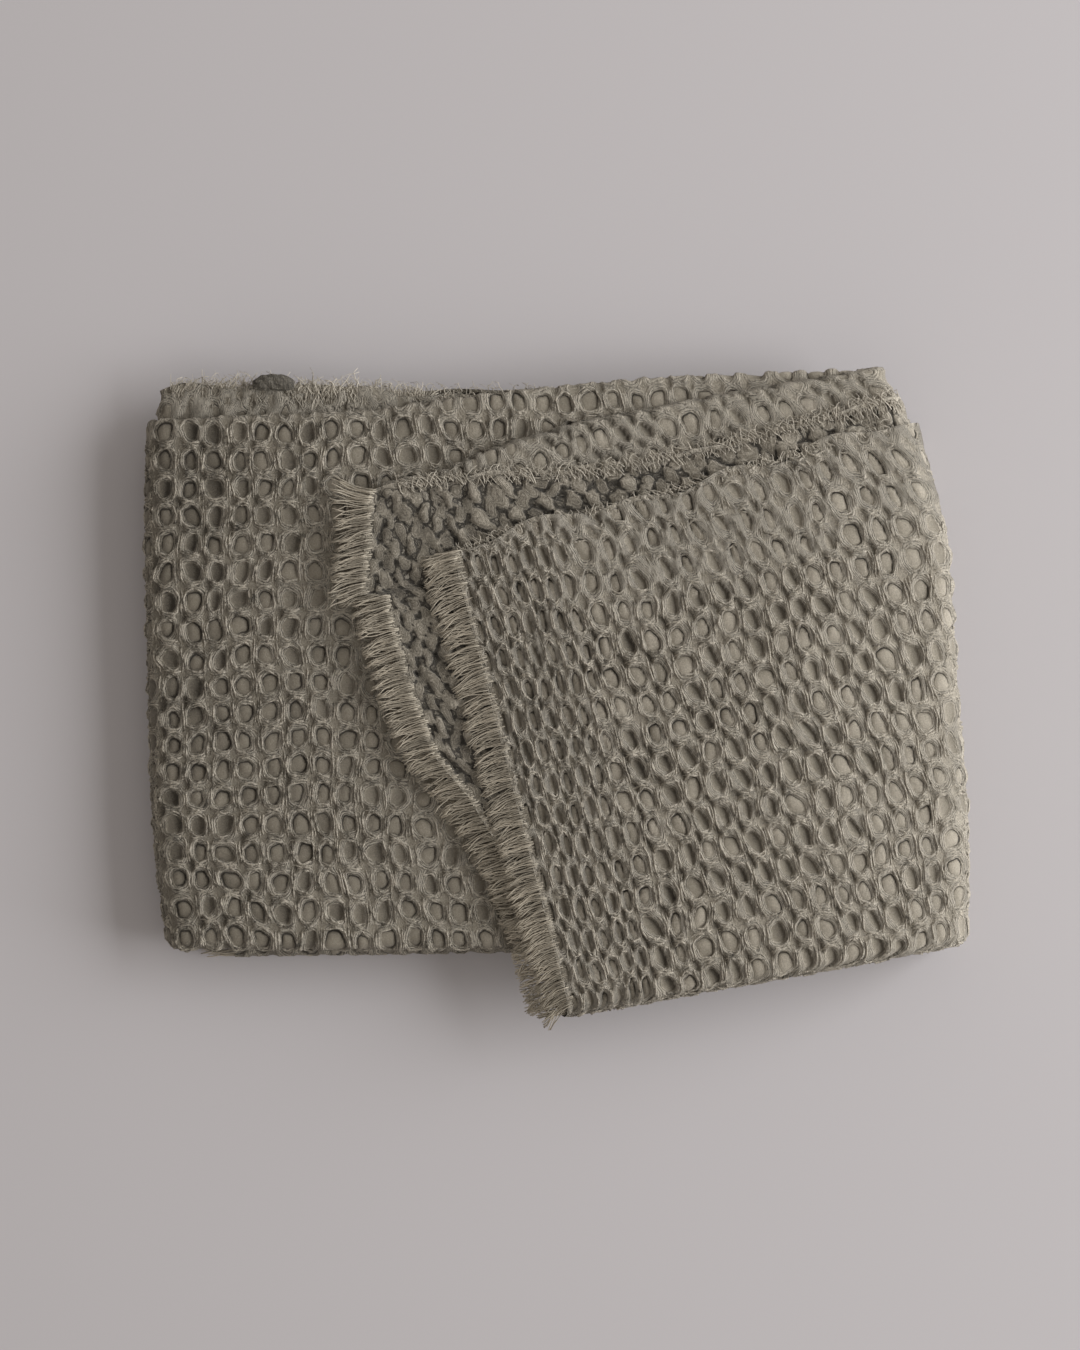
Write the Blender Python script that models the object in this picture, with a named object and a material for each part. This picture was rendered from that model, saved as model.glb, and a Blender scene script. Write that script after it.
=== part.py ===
"""A waffle-weave linen blanket, folded in four lengthwise and then back and forth in four passes.

The blanket is one sheet with a fringe at each end. Its long sides are folded in twice, so that a
strip of four layers results, and the strip is laid back and forth: pass 1 lies at the bottom, pass 3
is the top of the stack, and pass 4 is the fringed end, turned back askew over the right part of it.
Units are metres in Blender and millimetres in the tables. +X is to the right along the stack's long
side, +Y across it, +Z up. The origin is at the middle of the bottom of the whole.

The cloth is drawn in its own coordinates: s runs along the strip from the end that lies underneath,
and q across the sheet, from one selvedge round the lengthwise folds to the other.
"""

import math

import bpy
import numpy as np

MM = 0.001

# The sheet and its layers.
SHEET = 2.6  # thickness of the cloth
PITCH = 3.6  # from one layer of a pass to the next
PASS_PITCH = 4 * PITCH  # from one pass to the next
TURN = PASS_PITCH / 2  # radius of a crosswise fold, at the middle of the strip
OUTER_TURN, INNER_TURN = 1.5 * PITCH, 0.5 * PITCH  # radii of the lengthwise folds
PASS_COUNT = 4
FOLD_AT = -147.0  # where the lengthwise folds at the front edge have their centre, across the strip
CREASES = (-147.0, -127.0, -105.0, -70.0, 10.0, 80.0, 112.0)  # across the strip, where it may bend

# The fringe.
FRINGE = 20.0  # length of the yarn ends
FRINGE_SHEET = 1.8  # thickness of the row of yarns
FRINGE_GAP = 0.3
HEADING = 4.0  # where the yarns still lie side by side
TOOTH, TOOTH_SPACE = 11.0, 5.0

# The ends and crosswise folds, in plan: a point of the strip's own middle line (w = 0), the direction
# of the fold, and how far the fold's two ends are pulled in from it.
LINE_COLUMNS = ("x", "y", "lean_deg", "front_tuck", "back_tuck")
LINES = (
    (-192.0, 1.0, 91.0, 0.0, 0.0),  # the fringed end underneath
    (213.0, 7.0, 94.0, 5.0, 6.0),  # first fold, right
    (-224.0, 7.4, 91.5, 7.0, 4.0),  # second fold, left
    (217.6, 9.0, 94.3, 6.0, 22.0),  # third fold, right
    (-30.4, -34.7, 104.3, 0.0, 0.0),  # the fringed end on top
)

# How much of the tuck each place across the strip takes.
TUCKED_COLUMNS = ("across", "share")
TUCKED = (
    (-147.0, 1.0),
    (-127.0, 0.6),
    (-105.0, 0.25),
    (-70.0, 0.0),
    (80.0, 0.0),
    (112.0, 0.25),
    (178.0, 1.0),
)

# Across the strip, by pass (0 is the end underneath, 1 the first fold, 4 the end on top): the
# lengthwise fold at the back edge and the two selvedges.
WIDTH_COLUMNS = ("at", "back_fold", "selvedge_of_second_layer", "selvedge_of_first_layer")
WIDTHS = (
    (0.00, 149.0, 164.0, 156.0),
    (1.00, 165.0, 158.0, 146.0),
    (1.50, 156.0, 172.0, 166.0),
    (2.00, 150.5, 173.0, 168.0),
    (2.28, 155.0, 170.0, 164.0),
    (2.50, 167.0, 163.0, 155.0),
    (2.70, 174.0, 160.0, 150.0),
    (3.00, 178.0, 162.0, 148.0),
    (3.35, 179.5, 155.0, 139.0),
    (3.65, 179.5, 153.0, 131.0),
    (3.85, 174.0, 161.0, 130.0),
    (4.00, 165.5, 165.0, 122.0),
)

# How far each layer of the top end reaches past its first one, by place across the strip.
STEP_COLUMNS = ("across", "first", "fourth", "third", "second")
END_STEPS = (
    (-147.0, 0.0, 9.0, 9.0, 8.0),
    (-70.0, 0.0, 12.0, 12.0, 10.0),
    (10.0, 0.0, 30.0, 30.0, 34.0),
    (112.0, 0.0, 40.0, 42.0, 38.0),
    (170.0, 0.0, 30.0, 32.0, 44.0),
)

DROOP = 0.55  # slope that the top end takes where it hangs over the front edge
DROOP_START = 44.0
MIDDLE = (-1.09, 2.73)  # middle of the whole in plan, which becomes the origin
PUFF = 0.035  # share by which the stack is thicker or thinner from place to place
SLOPE = 0.17  # share by which it is lower at its left and right ends
SLOPE_START, SLOPE_REACH = 95.0, 140.0  # from the middle, where the slope starts and how far it goes

# How finely the cloth is divided.
OUTER_STEPS, INNER_STEPS = 6, 4
PASS_STEPS, TURN_STEPS = (3, 3, 5, 5), 6


def middle_heights():
    """Height of the middle of each pass above the surface."""
    lowest = OUTER_TURN + SHEET / 2
    return [lowest + PASS_PITCH * number for number in range(PASS_COUNT)]


def pass_starts():
    """For each pass, where it starts along s and how long it is."""
    starts, s = [], 0.0
    for here, there in zip(LINES, LINES[1:]):
        length = math.dist(here[:2], there[:2])
        starts.append((s, length))
        s += length + math.pi * TURN
    return starts


def columns_of(names, rows):
    """A table's columns, by name."""
    return dict(zip(names, np.array(rows).T))


def strip_widths(s):
    """The back fold and the two selvedges across the strip, at s."""
    known = []
    for number, (start, length) in enumerate(pass_starts()):
        known += [(start, number), (start + length, number + 1)]
    along, at = np.array(known).T
    where = np.interp(s, along, at)
    table = columns_of(WIDTH_COLUMNS, WIDTHS)
    return [np.interp(where, table["at"], table[name]) for name in WIDTH_COLUMNS[1:]]


def across_layer(share, selvedge):
    """Place across the strip at this share of a layer, from the front fold out to its far edge. The
    shares fall on the same creases in every layer."""
    step = np.clip(share, 0, 1) * len(CREASES)
    last = len(CREASES) - 1
    inside = np.interp(step, np.arange(len(CREASES)), CREASES)
    return inside + np.clip(step - last, 0, 1) * (selvedge - CREASES[-1])


def section(q, s):
    """Across the strip: (w, h, outward normal) at q, a number from 0 to 7 that counts the seven parts
    of the section: layer 1, outer front fold, layer 4, back fold, layer 3, inner front fold, layer 2."""
    back, second, first = strip_widths(s)
    turned = [math.pi * np.clip(q - number, 0, 1) for number in (1, 3, 5)]
    parts = (
        across_layer(1 - q, first),
        FOLD_AT - OUTER_TURN * np.sin(turned[0]),
        across_layer(q - 2, back),
        back + INNER_TURN * np.sin(turned[1]),
        across_layer(5 - q, back),
        FOLD_AT - INNER_TURN * np.sin(turned[2]),
        across_layer(q - 6, second),
    )
    w = np.select([q < number + 1 for number in range(6)], parts[:6], parts[6])
    h = OUTER_TURN * np.cos(turned[0])
    h = h + INNER_TURN * (2 - np.cos(turned[1]) - np.cos(turned[2]))
    heading = math.pi + turned[0] + turned[1] - turned[2]
    return w, h, np.sin(heading), -np.cos(heading)


def on_line(number, w):
    """The point of a fold or end line at w, with the line's ends pulled in."""
    line, tucked = dict(zip(LINE_COLUMNS, LINES[number])), columns_of(TUCKED_COLUMNS, TUCKED)
    lean = math.radians(line["lean_deg"])
    share = np.interp(w, tucked["across"], tucked["share"]) * (1 if number % 2 else -1)
    tuck = np.where(w < 0, line["front_tuck"], line["back_tuck"]) * share
    x, y = line["x"] + w * math.cos(lean) - tuck, line["y"] + w * math.sin(lean)
    return np.stack([x, y], axis=-1)


def unit(vectors):
    return vectors / np.linalg.norm(vectors, axis=-1, keepdims=True)


def laid(s, w, h):
    """Where a point of the strip lies: w across it, h above its middle, s along it."""
    heights, starts = middle_heights(), pass_starts()
    plan, z = np.zeros(s.shape + (2,)), np.zeros(s.shape)
    rows = [(on_line(number, w), on_line(number + 1, w)) for number in range(PASS_COUNT)]
    for number, (start, length) in enumerate(starts):
        up = 1 if number % 2 else -1
        here, there = rows[number]
        along = ((s - start) / length)[..., None]
        lies = (s >= start) | (number == 0)
        plan = np.where(lies[..., None], here + (there - here) * along, plan)
        z = np.where(lies, heights[number] + up * h, z)
        if number == PASS_COUNT - 1:
            break
        angle = np.clip((s - start - length) / TURN, 0, math.pi)
        radius = TURN - up * h
        incoming, outgoing = unit(there - here), unit(rows[number + 1][1] - rows[number + 1][0])
        share = (0.5 - 0.5 * np.cos(angle))[..., None]
        outward = unit(incoming * (1 - share) - outgoing * share)
        turning = s > start + length
        reach = (radius * np.sin(angle))[..., None]
        plan = np.where(turning[..., None], there + reach * outward, plan)
        z = np.where(turning, heights[number] + TURN - radius * np.cos(angle), z)
    return settled(plan, z, s, starts)


def settled(plan, z, s, starts):
    """The top end hangs over the front edge, the layers lie a little unevenly, and they slope down
    towards the left and right ends."""
    x, y = plan[..., 0], plan[..., 1]
    left, right = on_line(2, np.array(FOLD_AT)), on_line(3, np.array(FOLD_AT))
    edge = left[1] + (right[1] - left[1]) * (x - left[0]) / (right[0] - left[0]) - OUTER_TURN - SHEET
    over = np.maximum(edge - y, 0) * np.clip((s - starts[3][0]) / 40, 0, 1)
    z = z - DROOP * over**2 / (over + DROOP_START)
    z = z * (1 + PUFF * np.sin(x / 71 + 0.8) * np.cos(y / 58 + 0.4))
    z = z * (1 - SLOPE * (np.maximum(np.abs(x) - SLOPE_START, 0) / SLOPE_REACH) ** 2)
    return np.stack([x - MIDDLE[0], y - MIDDLE[1], z], axis=-1)


def end_step(q, w):
    """How far past the first layer's end the sheet reaches on top."""
    table = columns_of(STEP_COLUMNS, END_STEPS)
    layers = [np.interp(w, table["across"], table[name]) for name in STEP_COLUMNS[1:]]
    step = layers[0]
    for number, layer in enumerate(layers[1:]):
        step = step + (layer - step) * np.clip(q - 2 * number - 1, 0, 1)
    return step


def sheet_points(q, s, thickness):
    """The outer and the inner face of the sheet over a grid of q and s."""
    w, h, across, up = section(q, s)
    return [laid(s, w + side * across, h + side * up) for side in (thickness / 2, -thickness / 2)]


def q_steps():
    """q at each division across the sheet."""
    flat = len(CREASES)
    counts = (flat, OUTER_STEPS, flat, INNER_STEPS, flat, INNER_STEPS, flat)
    steps = [part + np.arange(count) / count for part, count in enumerate(counts)]
    return np.append(np.concatenate(steps), 7.0)


def runs_back(q):
    """True in the layers that run towards the front edge as q grows."""
    return np.asarray(q, int) % 4 == 0


def s_steps():
    """s at each division along the strip."""
    steps = []
    for number, (start, length) in enumerate(pass_starts()):
        steps.append(start + length * np.arange(PASS_STEPS[number]) / PASS_STEPS[number])
        if number < PASS_COUNT - 1:
            steps.append(start + length + math.pi * TURN * np.arange(TURN_STEPS) / TURN_STEPS)
    last, length = pass_starts()[-1]
    return np.append(np.concatenate(steps), last + length)


def solid_sheet(name, faces_of_sheet, filled, turned_back, material):
    """A closed solid from the two faces of a sheet, of which only the filled cells are there. Where the
    sheet runs back towards the front edge, its cells are halved the other way, so that all the layers
    bend along the same lines."""
    outer, inner = faces_of_sheet
    rows, columns = outer.shape[:2]
    index = np.arange(rows * columns).reshape(rows, columns)
    under = rows * columns
    faces = []
    for i, j in zip(*np.nonzero(filled)):
        a, b, c, d = index[i, j], index[i + 1, j], index[i + 1, j + 1], index[i, j + 1]
        halves = ((a, b, d), (b, c, d)) if turned_back[i] else ((a, b, c), (a, c, d))
        faces += [half[::-1] for half in halves]
        faces += [tuple(corner + under for corner in half) for half in halves]
        sides = (((i - 1, j), d, a), ((i + 1, j), b, c), ((i, j - 1), a, b), ((i, j + 1), c, d))
        for (row, column), one, other in sides:
            inside = 0 <= row < rows - 1 and 0 <= column < columns - 1
            if not (inside and filled[row, column]):
                faces.append((one, other, other + under, one + under))
    points = np.concatenate([outer.reshape(-1, 3), inner.reshape(-1, 3)]) * MM
    used = np.unique(np.concatenate([np.array(face) for face in faces]))
    place = np.full(len(points), -1)
    place[used] = np.arange(len(used))
    mesh = bpy.data.meshes.new(name)
    mesh.from_pydata(points[used].tolist(), [], [[int(place[p]) for p in face] for face in faces])
    mesh.validate()
    mesh.materials.append(material)
    mesh.shade_smooth()
    node = bpy.data.objects.new(name, mesh)
    bpy.context.scene.collection.objects.link(node)
    return node


def linen(name, colour):
    material = bpy.data.materials.new(name)
    material.use_nodes = True
    shader = material.node_tree.nodes["Principled BSDF"]
    shader.inputs["Base Color"].default_value = (*colour, 1.0)
    shader.inputs["Roughness"].default_value = 0.95
    shader.inputs["Metallic"].default_value = 0.0
    return material


def make_cloth():
    """The woven sheet, with its ends cut back step by step under the first layer on top."""
    q, s = np.meshgrid(q_steps(), s_steps(), indexing="ij")
    last, length = pass_starts()[-1]
    reach = end_step(q, section(q, s)[0])
    s = s + reach * np.clip((s - last) / length, 0, 1)
    filled = np.ones((q.shape[0] - 1, q.shape[1] - 1), bool)
    material = linen("cloth_linen", (0.24, 0.22, 0.17))
    return solid_sheet("cloth", sheet_points(q, s, SHEET), filled, runs_back(q[:, 0]), material)


def comb_steps(end):
    """q at each side of a tooth, and which of the cells between them carry one, for the end at this s.
    Each flat division of the cloth has a whole number of teeth, and the folds have none."""
    share = TOOTH / (TOOTH + TOOTH_SPACE)
    divisions = q_steps()
    widths = np.abs(np.diff(section(divisions, np.full(divisions.shape, end))[0]))
    steps, teeth = [], []
    for here, there, width in zip(divisions, divisions[1:], widths):
        if int(here) % 2:
            steps.append(here)
            teeth.append(False)
            continue
        count = max(1, round(width / (TOOTH + TOOTH_SPACE)))
        for tooth in range(count):
            at = here + (there - here) * tooth / count
            steps += [at, at + (there - here) * share / count]
            teeth += [True, False]
    return np.array(steps + [7.0]), np.array(teeth)


def along_divisions(points, steps):
    """Points at these values of q, on straight lines between the cloth's own divisions."""
    columns = [[np.interp(steps, q_steps(), line) for line in row.T] for row in points.swapaxes(0, 1)]
    return np.array(columns).transpose(2, 0, 1)


def make_fringe(name, on_top):
    """A comb along one end: its back lies against the end of the cloth, its teeth point away."""
    end = sum(pass_starts()[-1]) if on_top else 0.0
    steps, teeth = comb_steps(end)
    q, away = np.meshgrid(q_steps(), np.array([FRINGE_GAP, HEADING, FRINGE]), indexing="ij")
    s = end + away + end_step(q, section(q, np.full(q.shape, end))[0]) if on_top else -away
    faces_of_sheet = [along_divisions(face, steps) for face in sheet_points(q, s, FRINGE_SHEET)]
    if not on_top:
        faces_of_sheet.reverse()
    filled = np.ones((len(steps) - 1, 2), bool)
    filled[:, 1] = teeth
    material = linen(name + "_yarn", (0.30, 0.28, 0.22))
    return solid_sheet(name, faces_of_sheet, filled, runs_back(steps), material)


for old in list(bpy.data.objects):
    bpy.data.objects.remove(old)

make_cloth()
make_fringe("fringe_on_top", True)
make_fringe("fringe_underneath", False)
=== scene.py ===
"""A washed linen blanket in a big waffle weave, folded in four lengthwise and then back and forth.

The blanket is one sheet. Its own coordinates are s, along the strip from the fringed end underneath,
and q, across the sheet, which counts the seven parts of a section: layer 1 (0 to 1), the outer front
fold, layer 4 (2 to 3), the back fold, layer 3 (4 to 5), the inner front fold, layer 2 (6 to 7).
Sizes are in millimetres until a mesh is made.
"""

import math

import bpy
import numpy as np
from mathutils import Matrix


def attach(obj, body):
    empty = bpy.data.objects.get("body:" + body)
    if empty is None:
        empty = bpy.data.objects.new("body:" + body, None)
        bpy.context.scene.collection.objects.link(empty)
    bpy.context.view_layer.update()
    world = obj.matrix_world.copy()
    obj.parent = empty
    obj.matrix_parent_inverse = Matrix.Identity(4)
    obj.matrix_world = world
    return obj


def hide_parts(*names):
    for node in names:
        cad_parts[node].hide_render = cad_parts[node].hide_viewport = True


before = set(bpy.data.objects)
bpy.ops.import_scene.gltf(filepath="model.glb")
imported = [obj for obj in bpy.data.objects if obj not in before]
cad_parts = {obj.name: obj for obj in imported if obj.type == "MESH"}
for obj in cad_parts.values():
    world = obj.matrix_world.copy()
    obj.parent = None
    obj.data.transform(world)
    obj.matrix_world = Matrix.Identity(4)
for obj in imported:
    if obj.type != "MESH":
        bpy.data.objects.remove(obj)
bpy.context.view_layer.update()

# ---------------------------------------------------------------------------------------------
# The top of the stack: layer 4 of the third pass, the woven cloth that shows on the left, with
# the fold at its left end and the rounded front and back edges. Two-ply linen in a waffle weave:
# floats of warp and weft stand up round sunk cells of plain weave, and washing has puckered it.
# ---------------------------------------------------------------------------------------------

MM = 0.001
SHEET = 2.6  # thickness of the cloth
LAYER = 3.6  # from one layer of a pass to the next
PASS = 4 * LAYER
TURN = PASS / 2  # radius of a crosswise fold, at the middle of the strip
OUTER_TURN, INNER_TURN = 1.5 * LAYER, 0.5 * LAYER  # radii of the lengthwise folds
FOLD_AT = -147.0  # where the front folds have their centre, across the strip
CREASES = (-147.0, -127.0, -105.0, -70.0, 10.0, 80.0, 112.0)  # across the strip

# The ends and crosswise folds in plan: a point of the strip's middle line, the direction of the
# fold, and how far its front and back ends are pulled in.
FOLD_LINES = (
    (-192.0, 1.0, 91.0, 0.0, 0.0),
    (213.0, 7.0, 94.0, 5.0, 6.0),
    (-224.0, 7.4, 91.5, 7.0, 4.0),
    (217.6, 9.0, 94.3, 6.0, 22.0),
    (-30.4, -34.7, 104.3, 0.0, 0.0),
)
# Place across the strip, and the share of the pull that it takes.
PULLED = ((-147, 1.0), (-127, 0.6), (-105, 0.25), (-70, 0.0), (80, 0.0), (112, 0.25), (178, 1.0))
# Pass by pass: the back fold, the selvedge of layer 2 and the selvedge of layer 1.
WIDTHS = (
    (0.00, 149.0, 164.0, 156.0),
    (1.00, 165.0, 158.0, 146.0),
    (1.50, 156.0, 172.0, 166.0),
    (2.00, 150.5, 173.0, 168.0),
    (2.28, 155.0, 170.0, 164.0),
    (2.50, 167.0, 163.0, 155.0),
    (2.70, 174.0, 160.0, 150.0),
    (3.00, 178.0, 162.0, 148.0),
    (3.35, 179.5, 155.0, 139.0),
    (3.65, 179.5, 153.0, 131.0),
    (3.85, 174.0, 161.0, 130.0),
    (4.00, 165.5, 165.0, 122.0),
)
# Place across the strip, and how far layers 1, 4, 3 and 2 of the top end reach past layer 1.
END_STEPS = (
    (-147.0, 0.0, 9.0, 9.0, 8.0),
    (-100.0, 0.0, 9.0, 9.0, 8.0),
    (-59.0, 0.0, 12.0, 12.0, 14.0),
    (-20.0, 0.0, 20.0, 20.0, 26.0),
    (10.0, 0.0, 30.0, 30.0, 40.0),
    (51.0, 0.0, 34.0, 34.0, 43.0),
    (104.0, 0.0, 38.0, 40.0, 43.0),
    (107.0, 0.0, 38.0, 40.0, 54.0),
    (170.0, 0.0, 26.0, 28.0, 35.0),
)
DROOP, DROOP_START = 0.55, 44.0  # slope of the end that hangs over the front edge
MIDDLE = (-1.09, 2.73)
PUFF = 0.035  # share by which the stack is thicker or thinner from place to place
SLOPE, SLOPE_START, SLOPE_REACH = 0.20, 128.0, 108.0  # how the stack gets lower at its two ends
HEIGHTS = [OUTER_TURN + SHEET / 2 + PASS * number for number in range(4)]


def pass_starts():
    """Where each pass starts along s, and how long it is: the distance between two fold lines, plus
    half a circle for each crosswise fold."""
    starts, s = [], 0.0
    for here, there in zip(FOLD_LINES, FOLD_LINES[1:]):
        length = math.dist(here[:2], there[:2])
        starts.append((s, length))
        s += length + math.pi * TURN
    return starts


STARTS = pass_starts()
LAST = sum(STARTS[3])  # s at the end of layer 1 on top


def edges(s):
    """The back fold and the two selvedges at s."""
    along, at = np.array([(a + n * b, k + n) for k, (a, b) in enumerate(STARTS) for n in (0, 1)]).T
    where, table = np.interp(s, along, at), np.array(WIDTHS)
    return [np.interp(where, table[:, 0], column) for column in table[:, 1:].T]


def across_layer(share, edge):
    """Place across the strip at a share of a layer, from the front fold to its far edge."""
    step, last = np.clip(share, 0, 1) * len(CREASES), len(CREASES) - 1
    inside = np.interp(step, np.arange(len(CREASES)), CREASES)
    return inside + np.clip(step - last, 0, 1) * (edge - CREASES[-1])


def section(q, s):
    """Place across the strip, height over its middle, and the direction in which the right side of
    the cloth faces: straight layers joined by half circles."""
    back, second, first = edges(s)
    turned = [math.pi * np.clip(q - number, 0, 1) for number in (1, 3, 5)]
    parts = (
        across_layer(1 - q, first),
        FOLD_AT - OUTER_TURN * np.sin(turned[0]),
        across_layer(q - 2, back),
        back + INNER_TURN * np.sin(turned[1]),
        across_layer(5 - q, back),
        FOLD_AT - INNER_TURN * np.sin(turned[2]),
        across_layer(q - 6, second),
    )
    w = np.select([q < number + 1 for number in range(6)], parts[:6], parts[6])
    h = OUTER_TURN * np.cos(turned[0])
    h = h + INNER_TURN * (2 - np.cos(turned[1]) - np.cos(turned[2]))
    heading = math.pi + turned[0] + turned[1] - turned[2]
    return w, h, np.sin(heading), -np.cos(heading)


def on_line(number, w):
    """The point of a fold line at w, its ends pulled in."""
    x, y, lean, front, back = FOLD_LINES[number]
    lean = math.radians(lean)
    share = np.interp(w, *np.array(PULLED).T) * (1 if number % 2 else -1)
    pulled = np.where(w < 0, front, back) * share
    return np.stack([x + w * math.cos(lean) - pulled, y + w * math.sin(lean)], -1)


def unit(vectors):
    return vectors / np.linalg.norm(vectors, axis=-1, keepdims=True)


def laid(s, w, h):
    """Where a point of the strip lies. A pass is ruled straight from fold line to fold line, and a
    crosswise fold is a half circle whose radius is the turn's, more or less the height h."""
    plan, z = np.zeros(s.shape + (2,)), np.zeros(s.shape)
    rows = [(on_line(number, w), on_line(number + 1, w)) for number in range(4)]
    for number, (start, length) in enumerate(STARTS):
        up = 1 if number % 2 else -1
        here, there = rows[number]
        lies = (s >= start) | (number == 0)
        plan = np.where(lies[..., None], here + (there - here) * ((s - start) / length)[..., None], plan)
        z = np.where(lies, HEIGHTS[number] + up * h, z)
        if number == 3:
            break
        angle = np.clip((s - start - length) / TURN, 0, math.pi)
        radius = TURN - up * h
        incoming, outgoing = unit(there - here), unit(rows[number + 1][1] - rows[number + 1][0])
        share = (0.5 - 0.5 * np.cos(angle))[..., None]
        outward = unit(incoming * (1 - share) - outgoing * share)
        turning = s > start + length
        plan = np.where(turning[..., None], there + (radius * np.sin(angle))[..., None] * outward, plan)
        z = np.where(turning, HEIGHTS[number] + TURN - radius * np.cos(angle), z)
    return settled(plan, z, s)


def settled(plan, z, s):
    """The top end hangs over the front edge, the layers lie a little unevenly, and the stack gets
    lower towards its two ends."""
    x, y = plan[..., 0], plan[..., 1]
    left, right = on_line(2, np.array(FOLD_AT)), on_line(3, np.array(FOLD_AT))
    edge = left[1] + (right[1] - left[1]) * (x - left[0]) / (right[0] - left[0]) - OUTER_TURN - SHEET
    over = np.maximum(edge - y, 0) * np.clip((s - STARTS[3][0]) / 40, 0, 1)
    z = z - DROOP * over**2 / (over + DROOP_START)
    z = z * (1 + PUFF * np.sin(x / 71 + 0.8) * np.cos(y / 58 + 0.4))
    z = z * (1 - SLOPE * (np.maximum(np.abs(x) - SLOPE_START, 0) / SLOPE_REACH) ** 2)
    return np.stack([x - MIDDLE[0], y - MIDDLE[1], z], axis=-1)


def end_step(q, w):
    """How far past the end of layer 1 the sheet reaches on top."""
    table = np.array(END_STEPS)
    layers = [np.interp(w, table[:, 0], column) for column in table[:, 1:].T]
    step = layers[0]
    for number, layer in enumerate(layers[1:]):
        step = step + (layer - step) * np.clip(q - 2 * number - 1, 0, 1)
    return step


# The weave. A cell is a sunk disc of plain weave, ringed by floats; a smaller pad lies half a cell
# off in both directions.
CELL_ALONG, CELL_ALONG_TOP = 14.5, 14.0  # and in the last pass
CELL_ACROSS, CELL_ACROSS_FIRST = 16.3, 18.2  # on layer 4 and on, and on layer 1
ASKEW = 0.178  # how far the weave is turned from the third fold's line
END_HEADING, END_ROPES, ROPE = 1.5, 58.0, 9.2  # plain heading, narrow puckered columns, their pitch
GRAIN = 64  # the cells' chances repeat after this many

chance = np.random.default_rng(11).random((12, GRAIN, GRAIN))


def waves(x, y, seed, length, count=5):
    """Slow unevenness: a sum of sines in random directions, about -1 to 1."""
    rng = np.random.default_rng(seed)
    total = 0.0
    for turn, phase, scale in rng.random((count, 3)):
        angle = 2 * math.pi * turn
        reach = length * (0.7 + 0.8 * scale) / (2 * math.pi)
        total = total + np.sin((x * math.cos(angle) + y * math.sin(angle)) / reach + 6.283 * phase)
    return total / math.sqrt(count) / 1.2


def smooth(low, high, x):
    """0 below low, 1 above high, and an S curve between."""
    t = np.clip((x - low) / (high - low), 0, 1)
    return t * t * (3 - 2 * t)


def cells(q, s):
    """Weave coordinates, in cells. Along: s, plus what the outside of each crosswise fold needs more,
    turned askew in the last pass and narrower near its end. Across: the path round the section from
    the front edge. Both wander a little."""
    w, h, _, _ = section(q, s)
    back = edges(s)[0]
    turned = [np.clip((s - a - b) / TURN, 0, math.pi) for a, b in STARTS[:3]]
    along = s + h * (turned[0] - turned[1] + turned[2])
    last, length = STARTS[3]
    ramp = smooth(place_in_pass(2, 0.7), place_in_pass(3, 0.2), s)
    askew = -ASKEW * w * ramp * np.clip(1 - (s - last) / length, 0, 1)
    left = np.maximum(LAST + end_step(q, w) - s, 0.0)
    ropes = np.clip(left - END_HEADING, 0, END_ROPES)
    u = (along + askew) / CELL_ALONG - ropes * (1 / ROPE - 1 / CELL_ALONG_TOP)
    u = u + np.maximum(s - last, 0) * (1 / CELL_ALONG_TOP - 1 / CELL_ALONG)
    layer_width = back - FOLD_AT
    path = np.select(
        [q < 1, q < 2, q < 3, q < 4, q < 5, q < 6],
        [
            -math.pi * OUTER_TURN - (w - FOLD_AT),
            -math.pi * OUTER_TURN * (2 - q),
            w - FOLD_AT,
            layer_width + math.pi * INNER_TURN * (q - 3),
            layer_width + math.pi * INNER_TURN + back - w,
            2 * layer_width + math.pi * INNER_TURN * (q - 4),
        ],
        2 * layer_width + 2 * math.pi * INNER_TURN + w - FOLD_AT,
    )
    v = np.where(path > 0, path / CELL_ACROSS, path / CELL_ACROSS_FIRST)
    u = u + 0.075 * waves(along, path, 1, 34) + 0.09 * waves(along, path, 2, 90)
    v = v + 0.060 * waves(along, path, 3, 38) + 0.10 * waves(along, path, 4, 110)
    return u, v, left


def place_in_pass(number, share):
    """s at a share of a pass."""
    start, length = STARTS[number]
    return start + share * length


def drawn(i, j):
    """The chances of the cell at (i, j), each from 0 to 1."""
    return chance[:, i.astype(int) % GRAIN, j.astype(int) % GRAIN]


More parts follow.
